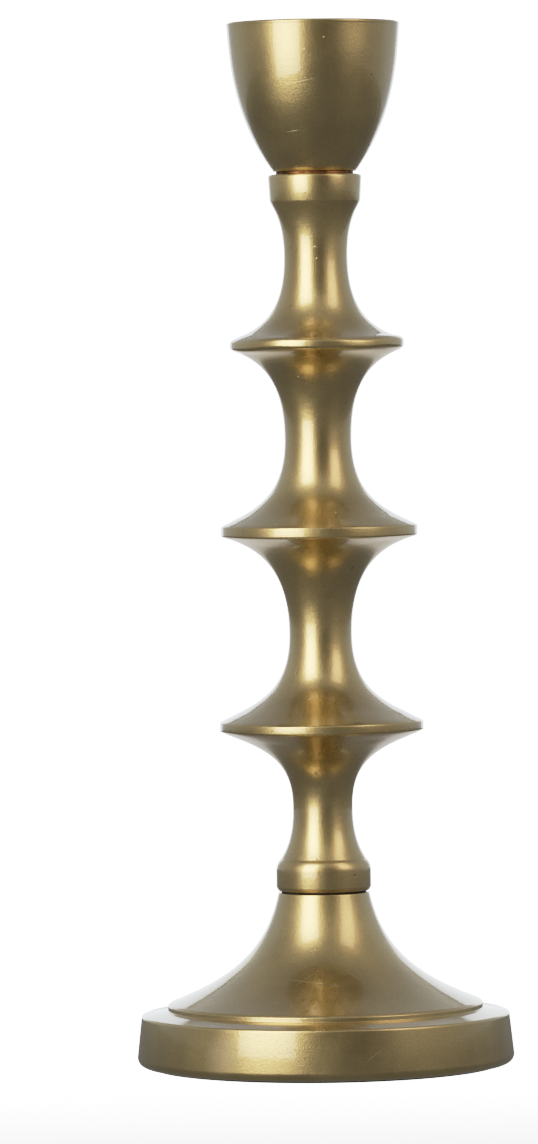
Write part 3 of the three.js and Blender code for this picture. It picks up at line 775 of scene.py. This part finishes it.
def thread_tree():
    """Geometry Nodes that wind a sheet of rows up a helix and shape it as a thread."""
    tree = bpy.data.node_groups.new("rolled thread", "GeometryNodeTree")
    sockets = tree.interface
    sockets.new_socket("Blank", in_out="INPUT", socket_type="NodeSocketGeometry")
    for name in ("Low", "High", "Datum", "Crest Radius", "Depth", "Pitch", "Root Share", "Chamfer"):
        sockets.new_socket(name, in_out="INPUT", socket_type="NodeSocketFloat")
    sockets.new_socket("Sides", in_out="INPUT", socket_type="NodeSocketInt")
    sockets.new_socket("Rows", in_out="INPUT", socket_type="NodeSocketInt")
    sockets.new_socket("Rows A Pitch", in_out="INPUT", socket_type="NodeSocketInt")
    sockets.new_socket("Finish", in_out="INPUT", socket_type="NodeSocketMaterial")
    sockets.new_socket("Stud", in_out="OUTPUT", socket_type="NodeSocketGeometry")
    given = tree.nodes.new("NodeGroupInput").outputs
    result = tree.nodes.new("NodeGroupOutput")

    def count(kind, a, b=0.0, c=None):
        return sum_of(tree, kind, a, b, c)

    sheet = shader(
        tree, "GeometryNodeMeshGrid",
        {
            "Size X": 1.0, "Size Y": 1.0,
            "Vertices X": count("ADD", given["Sides"], 1.0), "Vertices Y": given["Rows"],
        },
    )
    grid_place = tree.nodes.new("GeometryNodeInputPosition").outputs[0]
    corner = shader(tree, "ShaderNodeSeparateXYZ", {0: grid_place})
    turn = count("ADD", corner.outputs[0], 0.5)
    row = count("ADD", corner.outputs[1], 0.5)
    row = count("ROUND", count("MULTIPLY", row, count("SUBTRACT", given["Rows"], 1.0)))
    steps = count("DIVIDE", row, given["Rows A Pitch"])
    below = count("SUBTRACT", given["Low"], given["Datum"])
    start = count("SUBTRACT", count("FLOOR", count("DIVIDE", below, given["Pitch"])), 2.0)
    level = count("MULTIPLY", count("ADD", count("ADD", start, steps), turn), given["Pitch"])
    level = count("ADD", level, given["Datum"])
    height = count("MINIMUM", count("MAXIMUM", level, given["Low"]), given["High"])

    phase = count("FRACT", count("ADD", steps, 1e-4))
    half = count("MULTIPLY", count("SUBTRACT", 1.0, given["Root Share"]), 0.5)
    peak = count("ADD", given["Root Share"], half)
    away = count("DIVIDE", count("ABSOLUTE", count("SUBTRACT", phase, peak)), half)
    ridge = count("MULTIPLY", count("SUBTRACT", 1.0, away), 1.16)
    ridge = count("MINIMUM", count("MAXIMUM", ridge, 0.0), 1.0)
    root = count("SUBTRACT", given["Crest Radius"], given["Depth"])
    radius = count("ADD", root, count("MULTIPLY", ridge, given["Depth"]))
    from_low = count("SUBTRACT", height, given["Low"])
    to_end = count("MINIMUM", from_low, count("SUBTRACT", given["High"], height))
    limit = count("ADD", count("SUBTRACT", given["Crest Radius"], given["Chamfer"]), to_end)
    radius = count("MINIMUM", radius, limit)
    inside_first = count("GREATER_THAN", row, 0.5)
    inside_last = count("LESS_THAN", row, count("SUBTRACT", given["Rows"], 1.5))
    radius = count("MULTIPLY", radius, count("MULTIPLY", inside_first, inside_last))

    angle = count("MULTIPLY", turn, math.tau)
    spot = shader(
        tree, "ShaderNodeCombineXYZ",
        {
            "X": count("MULTIPLY", radius, count("COSINE", angle)),
            "Y": count("MULTIPLY", radius, count("SINE", angle)),
            "Z": height,
        },
    )
    wound = shader(
        tree, "GeometryNodeSetPosition",
        {"Geometry": sheet.outputs["Mesh"], "Position": spot.outputs[0]},
    )
    closed = shader(
        tree, "GeometryNodeMergeByDistance",
        {"Geometry": wound.outputs[0], "Distance": 2e-6},
    )
    smooth = shader(tree, "GeometryNodeSetShadeSmooth", {"Geometry": closed.outputs[0]})
    real = shader(tree, "GeometryNodeRealizeInstances", {"Geometry": smooth.outputs[0]})
    finish = shader(
        tree, "GeometryNodeSetMaterial",
        {"Geometry": real.outputs[0], "Material": given["Finish"]},
    )
    tree.links.new(finish.outputs[0], result.inputs[0])
    return tree


threading = thread_tree()
stud_finish = zinc_steel("plated studs", (0.6, 0.6, 0.58, 1), 0.3)


def stud(name, node, datum):
    """A stud where its solid lies, its thread counted from the end of the stem it stands in."""
    low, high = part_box(node)
    pitch = 1.25 * MM
    turns = math.ceil((high.z - low.z) / pitch) + 5
    sizes = {
        "Low": low.z,
        "High": high.z,
        "Datum": datum,
        "Crest Radius": 4 * MM,
        "Depth": 0.7 * MM,
        "Pitch": pitch,
        "Root Share": 0.248,
        "Chamfer": 0.75 * MM,
        "Sides": STUD_SIDES,
        "Rows": turns * ROWS_A_PITCH + 1,
        "Rows A Pitch": ROWS_A_PITCH,
        "Finish": stud_finish,
    }
    piece = made_by(threading, name, bpy.data.meshes.new(name), sizes)
    piece.data.set_sharp_from_angle(angle=math.radians(40))
    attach(piece, "stem_turned")
    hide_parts(node)


stud("threaded_stem_stud", "stem_stud", stem_low.z)
stud("threaded_cup_stud", "cup_stud", stem_high.z)


# ------------------------------------------------------------------------------------------
# Candle cup. A tulip-shaped cup turned from one brass casting, with a socket for a 22 mm candle
# in its floor and a tapped hole under it. It screws down on the copper ring.

cup_low, cup_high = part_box("candle_cup")
CUP_Z = cup_low.z / MM
CUP_HEIGHT = (cup_high.z - cup_low.z) / MM
CUP_MOUTH_RADIUS = cup_high.x / MM
CUP_FOOT_RADIUS = 10.3
CUP_BELLY = (20.9, 14.3)
MOUTH_FLARE = 0.8
MOUTH_RUN = 8
CUP_STEPS = 90
CUP_WALL = 2.2
LIP_ROUND = 0.55
SOCKET_RADIUS = 11.25
SOCKET_FLOOR = 7.3
SOCKET_TOP = 19.3
BOWL_FLOOR = 21.5
BOWL_EDGE = 21.8
BOWL_CHAMFER = 1.1
TAP_DEPTH = 5.8
TAP_RADIUS = 4.14
TAP_GROOVE = 4.45
TAP_PITCH = 1.25
TAP_END = 0.5
TAP_MOUTH_RADIUS = 4.7
GROOVE_MIDDLE = 0.4
GROOVE_WIDTH = 0.85
CUP_GOLDEN = (0.6, 0.465, 0.21, 1)
CUP_BROWNED = (0.51, 0.39, 0.18, 1)


def cup_outline():
    wall = sweep(
        (CUP_FOOT_RADIUS, 0),
        CUP_BELLY,
        (CUP_MOUTH_RADIUS - MOUTH_FLARE, CUP_HEIGHT - MOUTH_RUN),
        (CUP_MOUTH_RADIUS, CUP_HEIGHT),
        CUP_STEPS,
    )
    outline = [(0, TAP_DEPTH), (TAP_RADIUS, TAP_DEPTH)]
    for k in range(4):
        z = TAP_DEPTH - TAP_END - TAP_PITCH * k
        outline += [(TAP_RADIUS, z), (TAP_GROOVE, z - GROOVE_MIDDLE)]
        outline.append((TAP_RADIUS, z - GROOVE_WIDTH))
    outline += [(TAP_RADIUS, TAP_END), (TAP_MOUTH_RADIUS, 0)]
    outline += [p for p in wall if p[1] < CUP_HEIGHT - 0.75]
    lip_z = CUP_HEIGHT - LIP_ROUND
    outline += arc(CUP_MOUTH_RADIUS - LIP_ROUND, lip_z, LIP_ROUND, 0, 90, 8)
    outline += arc(CUP_MOUTH_RADIUS - CUP_WALL + LIP_ROUND, lip_z, LIP_ROUND, 90, 180, 8)
    bowl = [(x - CUP_WALL, z) for x, z in reversed(wall)]
    outline += [p for p in bowl if BOWL_EDGE < p[1] < CUP_HEIGHT - CUP_WALL]
    floor_edge = outline[-1][0] - BOWL_CHAMFER
    outline += [(floor_edge, BOWL_FLOOR), (SOCKET_RADIUS, SOCKET_TOP)]
    outline += [(SOCKET_RADIUS, SOCKET_FLOOR), (0, SOCKET_FLOOR)]
    return [(x, z + CUP_Z) for x, z in outline]


def candle_cup():
    finish = lacquered_brass(
        "cup brass", CUP_GOLDEN, CUP_BROWNED, seed=3.19,
        scratches=(
            ((-0.16, 0.0, 0.987), 243.0, (-4, -18, 246), 6),
            ((-0.1, 0.0, 0.995), 232.9, (-6, -16, 236), 4),
        ),
    )
    piece = turned_piece("turned_cup", eased(cup_outline(), 0.1), finish)
    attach(piece, "cup_turned")
    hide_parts("candle_cup")


candle_cup()


# ------------------------------------------------------------------------------------------
# Table and studio. A pale table top that glows with painted light, brighter behind the
# candlestick than in front, a white sweep round it, a tall soft light at the left, a narrower
# warm one at the right, and a dim room in front.

TABLE_RADIUS = 7.0
TABLE_Z = -0.0001
BOUNCE_RADIUS = 1.2
BOUNCE_Z = -0.0006
SWEEP_RADIUS = 8.0


def glowing(name, colour, strength, dull=0.0):
    """A paper that glows. With dull it also takes light and shadow as matt paper does."""
    material = bpy.data.materials.new(name)
    material.use_nodes = True
    tree = material.node_tree
    tree.nodes.clear()
    output = tree.nodes.new("ShaderNodeOutputMaterial")
    glow = shader(tree, "ShaderNodeEmission", {"Color": colour, "Strength": strength})
    if dull:
        paper = shader(tree, "ShaderNodeBsdfDiffuse", {"Color": (dull, dull, dull, 1)})
        both = shader(tree, "ShaderNodeAddShader", {0: glow.outputs[0], 1: paper.outputs[0]})
        tree.links.new(both.outputs[0], output.inputs[0])
    else:
        tree.links.new(glow.outputs[0], output.inputs[0])
    return material, tree, glow


def round_sheet(name, radius, sides, z, material):
    """A flat round sheet of the set, which is no piece of the candlestick."""
    mesh = bpy.data.meshes.new(name)
    work = bmesh.new()
    bmesh.ops.create_circle(work, cap_ends=True, radius=radius, segments=sides)
    bmesh.ops.translate(work, verts=work.verts, vec=(0, 0, z))
    work.to_mesh(mesh)
    work.free()
    mesh.materials.append(material)
    sheet = bpy.data.objects.new(name, mesh)
    bpy.context.scene.collection.objects.link(sheet)
    return sheet


table_paper, table_tree, table_glow = glowing("table paper", (1, 1, 1, 1), 1.0, dull=0.25)
table_place = shader(table_tree, "ShaderNodeTexCoord").outputs["Object"]
table_parts = shader(table_tree, "ShaderNodeSeparateXYZ", {0: table_place})
# Painted light: the table's glow is brighter behind the candlestick and dimmer towards the front.
painted_table_light = ramp(table_tree, table_parts.outputs[1], -0.24, 0.0, 1.2, 2.2)
table_tree.links.new(painted_table_light, table_glow.inputs["Strength"])
table = round_sheet("table", TABLE_RADIUS, 96, TABLE_Z, table_paper)
table.visible_glossy = False
table.visible_diffuse = False

bounce_paper, bounce_tree, bounce_glow = glowing("table as the metal sees it", (1, 1, 1, 1), 1.0)
bounce_place = shader(bounce_tree, "ShaderNodeTexCoord").outputs["Object"]
bounce_parts = shader(bounce_tree, "ShaderNodeSeparateXYZ", {0: bounce_place})
aside = sum_of(bounce_tree, "ABSOLUTE", bounce_parts.outputs[0], 0.0)
paper_edge = sum_of(bounce_tree, "MULTIPLY", bounce_parts.outputs[1], 0.34)
aside = sum_of(bounce_tree, "SUBTRACT", aside, paper_edge)
on_paper = sum_of(
    bounce_tree, "MULTIPLY",
    ramp(bounce_tree, aside, -0.01, 0.05, 1.0, 0.0),
    ramp(bounce_tree, bounce_parts.outputs[1], 0.08, 0.2),
)
bounce = ramp(bounce_tree, on_paper, 0.0, 1.0, 0.15, 0.8)
bounce_tree.links.new(bounce, bounce_glow.inputs["Strength"])
bounce_sheet = round_sheet("table_bounce", BOUNCE_RADIUS, 64, BOUNCE_Z, bounce_paper)
bounce_sheet.visible_camera = False
bounce_sheet.visible_shadow = False

sweep_paper = glowing("white sweep", (1, 1, 1, 1), 2.4)[0]
dome_mesh = bpy.data.meshes.new("white_sweep")
dome_work = bmesh.new()
bmesh.ops.create_uvsphere(dome_work, u_segments=48, v_segments=24, radius=SWEEP_RADIUS)
bmesh.ops.reverse_faces(dome_work, faces=dome_work.faces)
dome_work.to_mesh(dome_mesh)
dome_work.free()
dome_mesh.materials.append(sweep_paper)
dome = bpy.data.objects.new("white_sweep", dome_mesh)
bpy.context.scene.collection.objects.link(dome)
dome.visible_glossy = False
dome.visible_diffuse = False
dome.visible_shadow = False
dome.visible_transmission = False


def softbox(name, azimuth, distance, bottom, height, lean, width, radiance, colour):
    """A soft light that stands facing the candlestick, with its top leaning in over it. Azimuth
    runs from the front to the right."""
    light = bpy.data.lights.new(name, "AREA")
    light.shape = "RECTANGLE"
    light.size = width
    light.size_y = height
    light.color = colour
    light.energy = radiance * math.pi * width * height
    holder = bpy.data.objects.new(name, light)
    bpy.context.scene.collection.objects.link(holder)
    turn = math.radians(azimuth)
    away = Vector((math.sin(turn), -math.cos(turn), 0))
    tip = math.radians(lean)
    foot = away * distance + Vector((0, 0, bottom))
    up = Vector((0, 0, math.cos(tip))) - away * math.sin(tip)
    facing = away * math.cos(tip) + Vector((0, 0, math.sin(tip)))
    holder.location = foot + up * (height / 2)
    holder.rotation_mode = "QUATERNION"
    holder.rotation_quaternion = facing.to_track_quat("Z", "Y")
    holder.visible_camera = False
    return holder


softbox("key_light", -36, 0.80, 0.0, 1.01, 8, 0.52, 4.0, (1.0, 0.97, 0.92))
softbox("side_light", 57, 0.80, 0.25, 0.80, 12, 0.40, 1.85, (1.0, 0.88, 0.76))

world = bpy.data.worlds.new("studio room")
bpy.context.scene.world = world
world.use_nodes = True
room = world.node_tree
room.nodes.clear()
look = shader(room, "ShaderNodeTexCoord").outputs["Generated"]
look_parts = shader(room, "ShaderNodeSeparateXYZ", {0: look})
level = shader(room, "ShaderNodeCombineXYZ", {"X": look_parts.outputs[0], "Y": look_parts.outputs[1]})
level = shader(room, "ShaderNodeVectorMath", {0: level.outputs[0]}, operation="NORMALIZE")
heading = shader(room, "ShaderNodeSeparateXYZ", {0: level.outputs[0]}).outputs[1]
height = look_parts.outputs[2]
behind = ramp(room, heading, 0.87, 0.92)
sweep_share = sum_of(room, "MULTIPLY", behind, ramp(room, height, 0.345, 0.352, 1.0, 0.0))
seam_share = sum_of(room, "MULTIPLY", behind, ramp(room, height, 0.352, 0.43, 1.0, 0.0))
front = ramp(room, heading, -0.97, -0.62, 1.0, 0.0)
front = sum_of(room, "MULTIPLY", front, ramp(room, height, 0.45, 0.75, 1.0, 0.0))
above = ramp(room, height, 0.35, 0.85)
rear = ramp(room, heading, -0.2, 0.6)
tone = blend_of(room, rear, (0.33, 0.32, 0.32, 1), (0.46, 0.50, 0.56, 1))
tone = blend_of(room, above, tone, (0.28, 0.275, 0.28, 1))
tone = blend_of(room, front, tone, (0.07, 0.067, 0.064, 1))
tone = blend_of(room, seam_share, tone, (0.09, 0.09, 0.1, 1))
tone = blend_of(room, sweep_share, tone, (1.35, 1.47, 1.62, 1))
glow = shader(room, "ShaderNodeBackground", {"Color": tone, "Strength": 1.0})
out = room.nodes.new("ShaderNodeOutputWorld")
room.links.new(glow.outputs[0], out.inputs[0])


# ------------------------------------------------------------------------------------------
# Camera. A long lens about 1.8 m away, just below the level of the upper disc, tipped down and
# leaning less than a degree, with the candlestick standing right of the middle.

EYE_HEIGHT = 0.178
EYE_DISTANCE = 1.76
AIM = Vector((-0.0127, 0.0, 0.1239))
LEAN = -0.76
camera_data = bpy.data.cameras.new("camera")
camera_data.sensor_width = 36
camera_data.lens = 221.5
camera = bpy.data.objects.new("camera", camera_data)
bpy.context.scene.collection.objects.link(camera)
camera.location = (0.0, -EYE_DISTANCE, EYE_HEIGHT)
camera.rotation_mode = "QUATERNION"
sight = (AIM - camera.location).to_track_quat("-Z", "Y")
camera.rotation_quaternion = sight @ Quaternion((0, 0, 1), math.radians(LEAN))
bpy.context.scene.camera = camera


# ------------------------------------------------------------------------------------------
# Print. The tones stay true up to the middle greys, and the highlights roll off gently to white.

WHITE_LEVEL = 2.2
printing = bpy.context.scene.view_settings
printing.view_transform = "Standard"
printing.use_curve_mapping = True
printing.curve_mapping.white_level = (WHITE_LEVEL, WHITE_LEVEL, WHITE_LEVEL)
roll_off = printing.curve_mapping.curves[3]
for light_in, light_out in ((0.25, 0.25), (0.5, 0.5), (0.8, 0.70), (1.2, 0.84), (1.7, 0.94)):
    roll_off.points.new(light_in / WHITE_LEVEL, light_out)
printing.curve_mapping.update()
